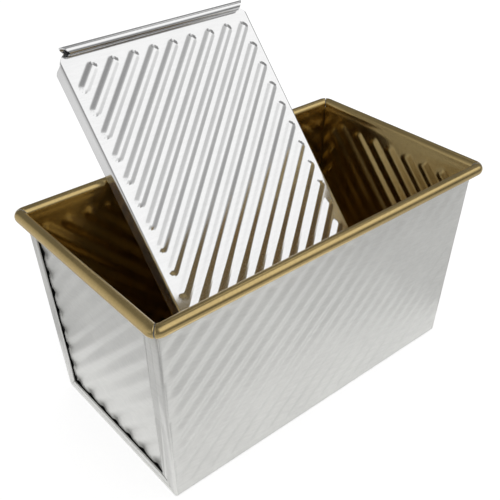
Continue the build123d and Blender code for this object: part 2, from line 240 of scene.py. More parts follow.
class LoafPanSizes(PropertyGroup):
    """Sizes of the pressed ribs and the end bands."""

    rib_depth: FloatProperty(
        name="Rib depth", description="How far the ribs stand into the pan",
        default=RIB_DEPTH, unit="LENGTH")
    rib_half_width: FloatProperty(
        name="Rib half width", description="From a rib's centre line to its foot",
        default=RIB_HALF_WIDTH, unit="LENGTH")
    lid_rib_half_width: FloatProperty(
        name="Lid rib half width", description="The same on the lid",
        default=LID_RIB_HALF_WIDTH, unit="LENGTH")
    lid_rib_depth: FloatProperty(
        name="Lid rib depth", description="How far the lid's ribs stand out of it",
        default=LID_RIB_DEPTH, unit="LENGTH")
    band_crease: FloatProperty(
        name="Band crease", description="Depth of the faint line along the end bands",
        default=BAND_CREASE, unit="LENGTH")
    band_bead: FloatProperty(
        name="Band bead", description="How far the hemmed edge of a band stands up",
        default=BAND_BEAD, unit="LENGTH")


class LoafPanFinish(PropertyGroup):
    """Colours and gloss of the metal."""

    wall_steel: FloatVectorProperty(
        name="Wall steel", description="Bare aluminised steel of the pan's outside",
        default=(0.78, 0.78, 0.755), subtype="COLOR")
    lid_steel: FloatVectorProperty(
        name="Lid steel", description="Brighter bare steel of the lid",
        default=(0.90, 0.90, 0.90), subtype="COLOR")
    coating: FloatVectorProperty(
        name="Coating", description="Gold-brown coating of the inside and the rim",
        default=(0.60, 0.45, 0.20), subtype="COLOR")
    wire: FloatVectorProperty(
        name="Rim wire", description="Drawn steel wire inside the rim",
        default=(0.35, 0.34, 0.33), subtype="COLOR")
    steel_roughness: FloatProperty(
        name="Steel roughness", description="Roughness of the bare steel",
        default=0.38, min=0.0, max=1.0, subtype="FACTOR")
    lid_roughness: FloatProperty(
        name="Lid roughness", description="Roughness of the lid's steel",
        default=0.13, min=0.0, max=1.0, subtype="FACTOR")
    coating_roughness: FloatProperty(
        name="Coating roughness", description="Roughness of the coating",
        default=0.22, min=0.0, max=1.0, subtype="FACTOR")


# Grids and shells

def smooth(share):
    """3 t^2 - 2 t^3, with t held between 0 and 1."""
    held = np.clip(share, 0.0, 1.0)
    return held * held * (3.0 - 2.0 * held)


def grid_normals(points):
    """Unit cross product of the steps along a row and from row to row."""
    down, along = np.gradient(points, axis=(0, 1))
    normal = np.cross(along, down)
    return normal / np.linalg.norm(normal, axis=2, keepdims=True)


def grid_triangles(keep):
    """Two triangles for each kept cell, split from its low corner to its high corner."""
    rows, columns = keep.shape
    corner = (np.arange(rows)[:, None] * (columns + 1) + np.arange(columns)[None, :])[keep]
    right, above, far = corner + 1, corner + columns + 1, corner + columns + 2
    first = np.stack([corner, right, far], axis=1)
    second = np.stack([corner, far, above], axis=1)
    return np.concatenate([first, second])


def weld(points, triangles):
    """One vertex for each place, the triangles on them, and which of those keep an area."""
    places = np.round(points / WELD).astype(np.int64)
    _, first, shared = np.unique(places, axis=0, return_index=True, return_inverse=True)
    moved = shared.reshape(-1)[triangles]
    a, b, c = moved.T
    return first, moved, (a != b) & (b != c) & (c != a)


def open_edges(triangles):
    """Directed edges that no neighbouring triangle shares."""
    edges = np.concatenate([triangles[:, pair] for pair in ([0, 1], [1, 2], [2, 0])])
    size = triangles.max() + 1
    forward = edges[:, 0] * size + edges[:, 1]
    backward = edges[:, 1] * size + edges[:, 0]
    return edges[~np.isin(forward, backward)]


def add_piece(name, vertices, triangles, slots, flat, materials, body):
    """A mesh object at the origin from arrays, turned so that its faces point outwards."""
    a, b, c = (vertices[triangles[:, k]] for k in range(3))
    if np.einsum("ij,ij->", a, np.cross(b, c)) < 0:
        triangles = triangles[:, ::-1]
    mesh = bpy.data.meshes.new(name)
    mesh.vertices.add(len(vertices))
    mesh.vertices.foreach_set("co", vertices.astype(np.float32).ravel())
    mesh.loops.add(triangles.size)
    mesh.loops.foreach_set("vertex_index", triangles.astype(np.int32).ravel())
    mesh.polygons.add(len(triangles))
    mesh.polygons.foreach_set("loop_start", np.arange(0, triangles.size, 3, dtype=np.int32))
    mesh.polygons.foreach_set("material_index", slots.astype(np.int32))
    mesh.polygons.foreach_set("use_smooth", ~flat)
    for material in materials:
        mesh.materials.append(material)
    mesh.update(calc_edges=True)
    mesh.validate()
    piece = bpy.data.objects.new(name, mesh)
    bpy.context.scene.collection.objects.link(piece)
    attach(piece, body)
    return piece


def add_sheet(name, points, normals, thickness, keep, materials, body):
    """A closed sheet of metal: the given face, its copy a thickness below, and its rim.

    The second face is point - thickness * normal. The first material goes on the given
    face and the last on the rest.
    """
    flat_points = points.reshape(-1, 3)
    flat_normals = normals.reshape(-1, 3)
    first, upper, real = weld(flat_points, grid_triangles(keep))
    upper = upper[real]
    count = len(first)
    vertices = np.concatenate([
        flat_points[first],
        flat_points[first] - thickness * flat_normals[first],
    ])
    lower = upper[:, ::-1] + count
    a, b = open_edges(upper).T
    rim = np.concatenate([
        np.stack([b, a, a + count], axis=1),
        np.stack([b, a + count, b + count], axis=1),
    ])
    triangles = np.concatenate([upper, lower, rim])
    slots = np.full(len(triangles), len(materials) - 1)
    slots[:len(upper)] = 0
    flat = np.zeros(len(triangles), bool)
    flat[len(upper) + len(lower):] = True
    return add_piece(name, vertices, triangles, slots, flat, materials, body)


def add_bar(name, rings, materials, body):
    """A closed bar through a row of rings, each a closed outline, with flat ends."""
    count, around = rings.shape[:2]
    row = np.arange(count - 1)[:, None] * around
    corner = (row + np.arange(around)).ravel()
    beside = (row + (np.arange(around) + 1) % around).ravel()
    skin = np.concatenate([
        np.stack([corner, beside, beside + around], axis=1),
        np.stack([corner, beside + around, corner + around], axis=1),
    ])
    fan = np.arange(1, around - 1)
    start = np.stack([np.zeros_like(fan), fan + 1, fan], axis=1)
    end = np.stack([np.zeros_like(fan), fan, fan + 1], axis=1) + (count - 1) * around
    points = rings.reshape(-1, 3)
    triangles = np.concatenate([skin, start, end])
    flat = np.zeros(len(triangles), bool)
    flat[len(skin):] = True
    first, moved, real = weld(points, triangles)
    slots = np.zeros(int(real.sum()))
    return add_piece(name, points[first], moved[real], slots, flat[real], materials, body)


# Ribs

def window_sides(corners, margins):
    """Each side of a convex outline as (a, b, c): inside where a x + b y >= c."""
    sides = []
    for (ax, ay), (bx, by), margin in zip(corners, corners[1:] + corners[:1], margins):
        length = sqrt((bx - ax) ** 2 + (by - ay) ** 2)
        a, b = (ay - by) / length, (bx - ax) / length
        sides.append((a, b, a * ax + b * ay + margin))
    return sides


def ramp(share, foot, crown):
    """A straight rise from 0 to 1 that starts and ends in arcs of a parabola.

    The arcs take the shares foot and crown of the run: a rising square, a line, and a
    falling square, scaled so that they meet and end at 1.
    """
    held = np.clip(share, 0.0, 1.0)
    start = held ** 2 / (2 * foot)
    line = held - foot / 2
    end = 1 - (foot + crown) / 2 - (1 - held) ** 2 / (2 * crown)
    rise = np.where(held < foot, start, np.where(held > 1 - crown, end, line))
    return rise / (1 - (foot + crown) / 2)


def rib_height(
        x, y, sides, pitch, shift, half_width, crest, depth, rounding=RIB_ROUNDING):
    """Height of the diagonal ribs of one window at (x, y) of its sheet.

    depth * ramp((half_width - r) / (half_width - crest)), with r the distance across
    from the rib's centre line. Past the start of each end, r also takes in the distance
    along, drawn out so that the end is a half ellipse RIB_END long.
    """
    along, across = (x + y) / ROOT2, (y - x) / ROOT2
    centre = shift + np.round((across - shift) / pitch) * pitch
    low = np.full(np.shape(centre), -1.0)
    high = np.full(np.shape(centre), 1.0)
    for a, b, c in sides:
        rate = (a + b) / ROOT2
        reach = (c - centre * (b - a) / ROOT2) / rate
        if rate > 0:
            low = np.maximum(low, reach)
        else:
            high = np.minimum(high, reach)
    real = high - low > SHORTEST_RIB
    past = np.maximum(low + RIB_END - along, along - high + RIB_END)
    past = np.maximum(past, 0.0) * half_width / RIB_END
    distance = np.hypot(across - centre, past)
    share = (half_width - distance) / (half_width - crest)
    return np.where(real, depth * ramp(share, *rounding), 0.0)


# Sections of the pan, as distance out from its middle and height

def trough_section(climb):
    """Outer face of the trough at a distance up the wall from its fold.

    Negative distances lie on the floor. Returns out, height and the inward normal.
    The fold is an arc of FOLD_RADIUS between the two lines.
    """
    reach = FOLD_REACH
    angle = FOLD_TURN * np.clip((climb + reach) / (2 * reach), 0.0, 1.0)
    on_floor = climb < -reach
    on_wall = climb > reach
    out = BASE_Y - reach + FOLD_RADIUS * np.sin(angle)
    height = FOLD_RADIUS * (1.0 - np.cos(angle))
    out = np.where(on_floor, BASE_Y + climb, out)
    height = np.where(on_floor, 0.0, height)
    out = np.where(on_wall, BASE_Y + climb * sin(SIDE_LEAN), out)
    height = np.where(on_wall, climb * cos(SIDE_LEAN), height)
    return out, height, -np.sin(angle), np.cos(angle)


def rim_section(out, height, lean, rim_out):
    """Coated face from the wall's top up the neck and round the roll.

    The neck is a cubic that leaves along the wall and arrives upright. The roll is an
    arc of RIM_RADIUS about (rim_out, RIM_Z). Returns out, height and how far each row
    has turned into the roll's corners, from 0 to 1.
    """
    share = np.linspace(0.0, 1.0, NECK_ROWS + 1)[1:]
    rise = RIM_Z - height
    start, end = (out, height), (rim_out - RIM_RADIUS, RIM_Z)
    slopes = (rise * tan(lean), rise), (0.0, rise)
    blend = 2 * share ** 3 - 3 * share ** 2 + 1
    leave = share ** 3 - 2 * share ** 2 + share
    arrive = share ** 3 - share ** 2
    neck = [
        blend * start[k] + leave * slopes[0][k]
        + (1 - blend) * end[k] + arrive * slopes[1][k]
        for k in (0, 1)
    ]
    angle = np.radians(180.0 - np.linspace(0.0, RIM_SWEEP, ROLL_ROWS + 1)[1:])
    roll = rim_out + RIM_RADIUS * np.cos(angle), RIM_Z + RIM_RADIUS * np.sin(angle)
    turned = np.concatenate([smooth(share), np.ones(len(angle))])
    out, height = (np.concatenate(part) for part in zip(neck, roll))
    return out, height, turned


def run_columns(straight, edge, step, phase):
    """Places across a sheet: an even grid, then a few places out to its edge.

    Returns the places and how far each is round the rim's corner, from -1 to 1.
    """
    low = np.ceil((-straight - phase) / step)
    high = np.floor((straight - phase) / step)
    inner = phase + step * np.arange(low, high + 1)
    beyond = np.linspace(0.0, 1.0, CORNER_COLUMNS + 1)
    outer = straight + (edge - straight) * beyond
    places = np.concatenate([-outer[::-1], inner, outer])
    turned = np.concatenate([-beyond[::-1], np.zeros(len(inner)), beyond])
    return places, turned


def rolled_points(places, corner, out, height, turned, limit, straight, axis_out):
    """Points (along, out, height) of a sheet and its roll.

    On the wall a place stays put, held to the sheet's limit in its row. On the roll the
    section turns about a vertical axis at each end of the straight run.
    """
    side = np.sign(corner)[None, :]
    arm = (out - axis_out)[:, None]
    slit = np.arcsin(MITRE_GAP / 2 / np.maximum(np.abs(arm), MITRE_GAP))
    angle = np.abs(corner)[None, :] * (pi / 4 - slit)
    round_along = np.where(
        side == 0, places[None, :], side * (straight + arm * np.sin(angle)))
    round_out = axis_out + arm * np.cos(angle)
    flat_along = np.clip(places[None, :], -limit[:, None], limit[:, None])
    share = turned[:, None]
    along = flat_along * (1 - share) + round_along * share
    distance = out[:, None] * (1 - share) + round_out * share
    return along, distance, np.broadcast_to(height[:, None], along.shape)


def end_out(height, setback=0.0):
    """Distance from the middle to the outer face of the end bands at a height."""
    return BASE_X + height * tan(END_LEAN) - setback / cos(END_LEAN)


def side_out(height, setback=0.0):
    """Distance from the middle to the outer face of the long walls at a height."""
    return BASE_Y + height * tan(SIDE_LEAN) - setback / cos(SIDE_LEAN)


def cells(points, least=0.01 * MM):
    """Cells of a grid that have some area."""
    across = np.linalg.norm(np.diff(points, axis=1), axis=2)
    return (across[:-1] > least) | (across[1:] > least)


# Metals

def node(tree, kind, **values):
    """Add a node, set its properties, and its inputs where a name is one of them."""
    made = tree.nodes.new(kind)
    for name, value in values.items():
        if name in made.inputs:
            made.inputs[name].default_value = value
        else:
            setattr(made, name, value)
    return made


def sheet_metal(name, colour, roughness, stretch, spread, tone, bump, metallic):
    """Rolled metal: fine streaks along the sheet, and soft clouds of tone and of gloss."""
    material = bpy.data.materials.new(name)
    material.use_nodes = True
    tree = material.node_tree
    join = tree.links.new
    shader = tree.nodes["Principled BSDF"]
    shader.inputs["Metallic"].default_value = metallic
    place = node(tree, "ShaderNodeTexCoord")
    drawn = node(tree, "ShaderNodeMapping")
    drawn.inputs["Scale"].default_value = stretch
    streaks = node(tree, "ShaderNodeTexNoise", Scale=900.0, Detail=4.0, Roughness=0.6)
    clouds = node(tree, "ShaderNodeTexNoise", Scale=38.0, Detail=5.0, Roughness=0.55)
    join(place.outputs["Object"], drawn.inputs["Vector"])
    join(drawn.outputs["Vector"], streaks.inputs["Vector"])
    join(place.outputs["Object"], clouds.inputs["Vector"])
    both = node(tree, "ShaderNodeMath", operation="ADD")
    join(streaks.outputs["Fac"], both.inputs[0])
    join(clouds.outputs["Fac"], both.inputs[1])
    share = node(tree, "ShaderNodeMapRange", **{"From Min": 0.7, "From Max": 1.3})
    join(both.outputs[0], share.inputs["Value"])
    mix = node(tree, "ShaderNodeMix", data_type="RGBA")
    mix.inputs["A"].default_value = tuple(c * (1 - tone) for c in colour) + (1.0,)
    mix.inputs["B"].default_value = tuple(min(c * (1 + tone), 1.0) for c in colour) + (1.0,)
    join(share.outputs["Result"], mix.inputs["Factor"])
    join(mix.outputs["Result"], shader.inputs["Base Color"])
    gloss = node(tree, "ShaderNodeMapRange", **{
        "From Min": 0.3, "From Max": 0.7,
        "To Min": roughness - spread, "To Max": roughness + spread})
    join(clouds.outputs["Fac"], gloss.inputs["Value"])
    join(gloss.outputs["Result"], shader.inputs["Roughness"])
    grain = node(tree, "ShaderNodeBump", Strength=0.25, Distance=bump * MM)
    join(streaks.outputs["Fac"], grain.inputs["Height"])
    join(grain.outputs["Normal"], shader.inputs["Normal"])


def finishes(settings):
    """The metals of the part, made once and then found by name."""
    made = bpy.data.materials
    if "wall_steel" not in made:
        rough = settings.steel_roughness
        sheet_metal("wall_steel", settings.wall_steel, rough, *WALL_FINISH)
        sheet_metal("end_steel", settings.wall_steel, rough, *END_FINISH)
        sheet_metal(
            "lid_bright_steel", settings.lid_steel, settings.lid_roughness, *LID_FINISH)
        sheet_metal("coating", settings.coating, settings.coating_roughness, *COATING_FINISH)
        sheet_metal("rim_wire_steel", settings.wire, WIRE_ROUGHNESS, *WIRE_FINISH)
        # Painted shade: near-black metal for the end panels under the bands
        sheet_metal("band_gap_painted_shade", BAND_GAP_SHADE_GREY, BAND_GAP_SHADE_ROUGHNESS, *WIRE_FINISH)
    return made


# Pan

class LOAFPAN_OT_body_sheet(Operator):
    """Walls and floor in one ribbed sheet, with the long edges rolled outward"""

    bl_idname = "loaf_pan.body_sheet"
    bl_label = "Body sheet"

    def execute(self, context):
        sizes = context.scene.loaf_pan_sizes
        metals = finishes(context.scene.loaf_pan_finish)
        step = RIB_PITCH * ROOT2 / WALL_CELLS
        top = WALL_TOP / cos(SIDE_LEAN)
        whole = step * np.arange(
            -round((BASE_WIDTH + top) / step) + 1, round(top / step))
        run = np.concatenate([[-BASE_WIDTH - top], whole, [top]])
        front = run > -BASE_Y
        climb = np.abs(run + BASE_Y) - BASE_Y
        out, height, normal_out, normal_up = trough_section(climb)
        out = out + SHEET * normal_out
        height = height + SHEET * normal_up

        straight = RIM_X - RIM_CORNER
        phase = -ROOT2 * WALL_RIB_SHIFT
        places, corner = run_columns(straight, TOP_X - BAND_DEPTH, step, phase)
        x, y = np.meshgrid(places, run)
        slant_x = end_out(WALL_TOP)
        near = [(-BASE_X, 0), (BASE_X, 0), (slant_x, top), (-slant_x, top)]
        floor = [
            (-BASE_X, -BASE_WIDTH), (BASE_X, -BASE_WIDTH), (BASE_X, 0), (-BASE_X, 0)]
        far = [(-slant_x, -BASE_WIDTH - top), (slant_x, -BASE_WIDTH - top),
               (BASE_X, -BASE_WIDTH), (-BASE_X, -BASE_WIDTH)]
        windows = (
            window_sides(near, [RIB_MARGIN, RIB_MARGIN, WALL_TOP_MARGIN, RIB_MARGIN]),
            window_sides(floor, [RIB_MARGIN] * 4),
            window_sides(far, [WALL_TOP_MARGIN, RIB_MARGIN, RIB_MARGIN, RIB_MARGIN]),
        )
        ribs = sum(
            rib_height(x, y, sides, RIB_PITCH, WALL_RIB_SHIFT,
                       sizes.rib_half_width, RIB_CREST, sizes.rib_depth)
            for sides in windows
        )
        limit = end_out(height) - BAND_DEPTH
        along, away, up = rolled_points(
            places, corner, out, height, np.zeros(len(run)), limit, straight, RIM_Y - RIM_CORNER)
        wide = rolled_points(
            places, corner, out, height, np.zeros(len(run)), limit + UNLIMITED, straight, RIM_Y)[0]
        away = away + ribs * normal_out[:, None]
        up = up + ribs * normal_up[:, None]

        rim_out, rim_up, turned = rim_section(
            out[-1], height[-1], SIDE_LEAN, RIM_Y)
        rim = rolled_points(
            places, corner, rim_out, rim_up, turned, np.full(len(rim_out), limit[-1]),
            straight, RIM_Y - RIM_CORNER)
        side = np.where(front, -1.0, 1.0)[:, None]
        body = np.stack([along, side * away, up], axis=2)
        flat = np.stack([wide, side * away, up], axis=2)
        near = np.stack([rim[0], -rim[1], rim[2]], axis=2)
        far = np.stack([rim[0], rim[1], rim[2]], axis=2)[::-1]
        points = np.concatenate([far, body, near])
        normals = -grid_normals(np.concatenate([far, flat, near]))
        piece = add_sheet(
            "body_sheet_dressed", points, normals, SHEET, cells(points),
            [metals["coating"], metals["wall_steel"]], "pan")
        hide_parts("body_sheet")
        return {"FINISHED"}


def paint_band_gap_shade(panel, metal):
    """Painted shade of the band gaps: dark, dull metal where the bands cover an end panel.

    At height z a side band covers |y| > base_y + z tan(lean) - width / cos(lean), and the
    bottom band covers z < width.
    """
    data = panel.data
    data.materials.append(metal)
    centres = np.empty(3 * len(data.polygons))
    data.polygons.foreach_get("center", centres)
    slots = np.empty(len(data.polygons), np.int32)
    data.polygons.foreach_get("material_index", slots)
    _, y, z = centres.reshape(-1, 3).T
    width = np.where(y < 0, FRONT_BAND_WIDTH, BAND_WIDTH)
    edge = BASE_Y + z * tan(SIDE_LEAN) - width / cos(SIDE_LEAN)
    shaded_under_bands = (np.abs(y) > edge) | (z < BAND_WIDTH)
    # Faces under the bands take the near-black metal, as painted shade of the gap under the hem
    slots[shaded_under_bands & (z < WALL_TOP) & (slots == 1)] = 2
    data.polygons.foreach_set("material_index", slots)


class LOAFPAN_OT_end_panels(Operator):
    """Ribbed sheets of the two ends, each with its top edge rolled outward"""

    bl_idname = "loaf_pan.end_panels"
    bl_label = "End panels"

    def execute(self, context):
        sizes = context.scene.loaf_pan_sizes
        metals = finishes(context.scene.loaf_pan_finish)
        step = RIB_PITCH * ROOT2 / FINE_CELLS
        slant = 1 / cos(END_LEAN)
        low = SHEET + CRIMP_GAP
        top = WALL_TOP * slant
        first = np.ceil(low * slant / step)
        last = np.floor(top / step)
        run = np.concatenate([[low * slant], np.arange(first + 1, last) * step, [top]])
        height = run / slant
        setback = BAND_DEPTH + SHEET
        out = end_out(height, setback)
        straight = RIM_Y - RIM_CORNER
        limit = side_out(height, low)
        corners = [
            (-side_out(low, low), low * slant),
            (side_out(low, low), low * slant),
            (side_out(WALL_TOP, low), top),
            (-side_out(WALL_TOP, low), top),
        ]
        side = PANEL_SIDE_MARGIN
        sides = window_sides(corners, [side, side, PANEL_TOP_MARGIN, side])
        for name, shift, facing in (
            ("right_end_panel", RIGHT_RIB_SHIFT, 1.0),
            ("left_end_panel", LEFT_RIB_SHIFT, -1.0),
        ):
            places, corner = run_columns(straight, limit[-1], step, -ROOT2 * shift)
            x, y = np.meshgrid(places, run)
            ribs = rib_height(
                x, y, sides, RIB_PITCH, shift,
                sizes.rib_half_width, RIB_CREST, sizes.rib_depth)
            still = np.zeros(len(run))
            axis_out = RIM_X - RIM_CORNER
            along, away, up = rolled_points(
                places, corner, out, height, still, limit, straight, axis_out)
            wide = rolled_points(
                places, corner, out, height, still, limit + UNLIMITED, straight, axis_out)[0]
            away = away - ribs * cos(END_LEAN)
            up = up + ribs * sin(END_LEAN)
            rim_out, rim_up, turned = rim_section(out[-1], height[-1], END_LEAN, RIM_X)
            rim = rolled_points(
                places, corner, rim_out, rim_up, turned, np.full(len(rim_out), limit[-1]),
                straight, axis_out)
            edge = np.stack([facing * rim[1], facing * rim[0], rim[2]], axis=2)
            panel = np.stack([facing * away, facing * along, up], axis=2)
            flat = np.stack([facing * away, facing * wide, up], axis=2)
            points = np.concatenate([panel, edge])
            normals = -grid_normals(np.concatenate([flat, edge]))
            piece = add_sheet(
                name + "_dressed", points, normals, SHEET, cells(points),
                [metals["coating"], metals["end_steel"]], "pan")
            # Paint the shade of the gap under the bands onto the panel
            paint_band_gap_shade(piece, metals["band_gap_painted_shade"])
            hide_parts(name)
        return {"FINISHED"}


def band_section(width, crease, bead):
    """Closed outline across a band as (inward, depth) from the pan's outer corner.

    A rounded fold to the wall, a flat face with a shallow crease, and a hemmed edge
    that is round and stands a little off the panel.
    """
    fold = np.linspace(0.0, pi / 2, 6)
    radius = BAND_DEPTH
    outer = [(radius - radius * cos(a), radius - radius * sin(a)) for a in fold]
    middle = width / 2
    line = BAND_CREASE_HALF
    face = [(middle - line, 0.0), (middle, crease), (middle + line, 0.0)]
    hem = BAND_HEM
    turn = np.linspace(pi / 2, -pi / 2, 8)
    centre = width - hem, hem - bead
    edge = [(centre[0] + hem * cos(a), centre[1] - hem * sin(a)) for a in turn]
    shoulder = [(width - 2.2 * hem, 0.0)]
    gap = width - BAND_GAP_DEPTH
    under = [(gap, 2 * hem - bead), (gap, BAND_DEPTH), (middle, BAND_DEPTH)]
    return np.array(outer + face + shoulder + edge + under)


def band_leg(inward):
    """Rings (out, height) of a band down a wall and round half of the bottom fold.

    On the wall a ring is a point up it less the distance inward across the band. Round
    the fold it lies on arcs about the fold's centre, and past the centre on the mitre.
    """
    arm = np.maximum(FOLD_RADIUS - inward, 0.0)
    past = np.maximum(inward - FOLD_RADIUS, 0.0)
    lowest = FOLD_REACH + past * tan(FOLD_TURN / 2) + BAND_MITRE * (past > 0)
    rows = []
    for share in (1.0, 0.5, 0.0):
        climb = lowest + share * (WALL_TOP / cos(SIDE_LEAN) - lowest)
        rows.append(np.stack([
            BASE_Y + climb * sin(SIDE_LEAN) - inward * cos(SIDE_LEAN),
            climb * cos(SIDE_LEAN) + inward * sin(SIDE_LEAN),
        ], axis=1))
    for angle in BAND_ANGLES[1:]:
        around = np.stack([
            BASE_Y - FOLD_REACH + arm * sin(FOLD_TURN - angle),
            FOLD_RADIUS - arm * cos(FOLD_TURN - angle),
        ], axis=1)
        rows.append(np.where((arm > 0)[:, None], around, rows[2]))
    return np.array(rows)


def band_floor(inward):
    """Rings (out, height) of a band along the bottom, from fold to fold."""
    arm = np.maximum(FOLD_RADIUS - inward, 0.0)
    past = np.maximum(inward - FOLD_RADIUS, 0.0)
    start = BASE_Y - FOLD_REACH - past * tan(FOLD_TURN / 2) - BAND_MITRE
    inner = np.stack([start, inward], axis=1)
    rows = []
    for angle in BAND_ANGLES[::-1]:
        around = np.stack([
            BASE_Y - FOLD_REACH + arm * sin(angle),
            FOLD_RADIUS - arm * cos(angle),
        ], axis=1)
        rows.append(np.where((arm > 0)[:, None], around, inner))
    half = np.array(rows)
    return np.concatenate([half, (half * np.array([-1.0, 1.0]))[::-1]])


class LOAFPAN_OT_end_bands(Operator):
    """Flat mitred bands of the body sheet, hemmed over the edges of both end panels"""

    bl_idname = "loaf_pan.end_bands"
    bl_label = "End bands"

    def execute(self, context):
        sizes = context.scene.loaf_pan_sizes
        metals = finishes(context.scene.loaf_pan_finish)
        for end, facing in (("right", 1.0), ("left", -1.0)):
            for part, width, side in (
                ("front", FRONT_BAND_WIDTH, -1.0),
                ("back", BAND_WIDTH, 1.0),
                ("bottom", BAND_WIDTH, 1.0),
            ):
                inward, depth = band_section(width, sizes.band_crease, sizes.band_bead).T
                outline = band_floor(inward) if part == "bottom" else band_leg(inward)
                y, z = outline[..., 0], outline[..., 1]
                x = end_out(z) - depth[None, :] / cos(END_LEAN)
                rings = np.stack([facing * x, side * y, z], axis=2)
                piece = add_bar(
                    end + "_band_" + part, rings, [metals["end_steel"]], "pan")
        return {"FINISHED"}


class LOAFPAN_OT_rim_wire(Operator):
    """Drawn-steel finish for the wire in the rolled rim"""

    bl_idname = "loaf_pan.rim_wire"
    bl_label = "Rim wire"

    def execute(self, context):
        metals = finishes(context.scene.loaf_pan_finish)
        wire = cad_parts["rim_wire"]
        wire.data.materials.clear()
        wire.data.materials.append(metals["rim_wire_steel"])
        return {"FINISHED"}


# Lid

def lid_axes():
    """Unit vectors across the lid, along it to the lip, and out of its outer face."""
    tilt, yaw, spin = radians(LID_TILT), radians(LID_YAW), radians(LID_SPIN)
    across = np.array([cos(yaw), sin(yaw), 0.0])
    along = np.array([-sin(tilt) * sin(yaw), sin(tilt) * cos(yaw), cos(tilt)])
    u = cos(spin) * across + sin(spin) * along
    v = cos(spin) * along - sin(spin) * across
    return u, v, np.cross(u, v)


def lid_origin(u, v, n):
    """Middle of the lid's plain end: rails on the floor's ribs and against the back roll."""
    floor_z = SHEET + RIB_DEPTH + LID_REST_GAP
    corners = [x * u - z * n for x in (0.0, LID_WIDTH) for z in (0.0, LID_FLANGE)]
    origin_z = floor_z - min(corner[2] for corner in corners)
    square = sqrt(v[2] ** 2 + v[1] ** 2)
    normal = (-v[2] / square, v[1] / square)
    rests = []
    for x in (0.0, LID_WIDTH):
        base_y = x * u[1] - LID_FLANGE * n[1]
        base_z = origin_z + x * u[2] - LID_FLANGE * n[2]
        over = (base_y - RIM_Y) * normal[0] + (base_z - RIM_Z) * normal[1]
        rests.append((RIM_RADIUS + LID_REST_GAP - over) / normal[0])
    return np.array([LID_LEFT, min(rests), origin_z]) + LID_WIDTH / 2 * u


def rail_section(girth):
    """Outer face across the lid at a distance round the sheet from its middle.

    A flat panel, a quarter fold, a flange, a quarter curl and its tip. Returns the place
    across and out of the panel.
    """
    side = np.sign(girth)
    left = np.abs(girth)
    taken = []
    for run in RAIL_RUNS[:4]:
        taken.append(np.minimum(left, run))
        left = left - taken[-1]
    flat, fold, flange, curl = taken
    tip = left
    bend, turn = fold / LID_FOLD, curl / LID_CURL
    across = flat + LID_FOLD * np.sin(bend) - LID_CURL * (1 - np.cos(turn)) - tip
    out = -LID_FOLD * (1 - np.cos(bend)) - flange - LID_CURL * np.sin(turn)
    return side * across, out


def panel_girth(across):
    """Distance round the sheet to a place across the panel or its fold."""
    start = LID_WIDTH / 2 - LID_FOLD
    past = np.clip((across - start) / LID_FOLD, 0.0, 1.0)
    return np.minimum(across, start) + LID_FOLD * np.arcsin(past)


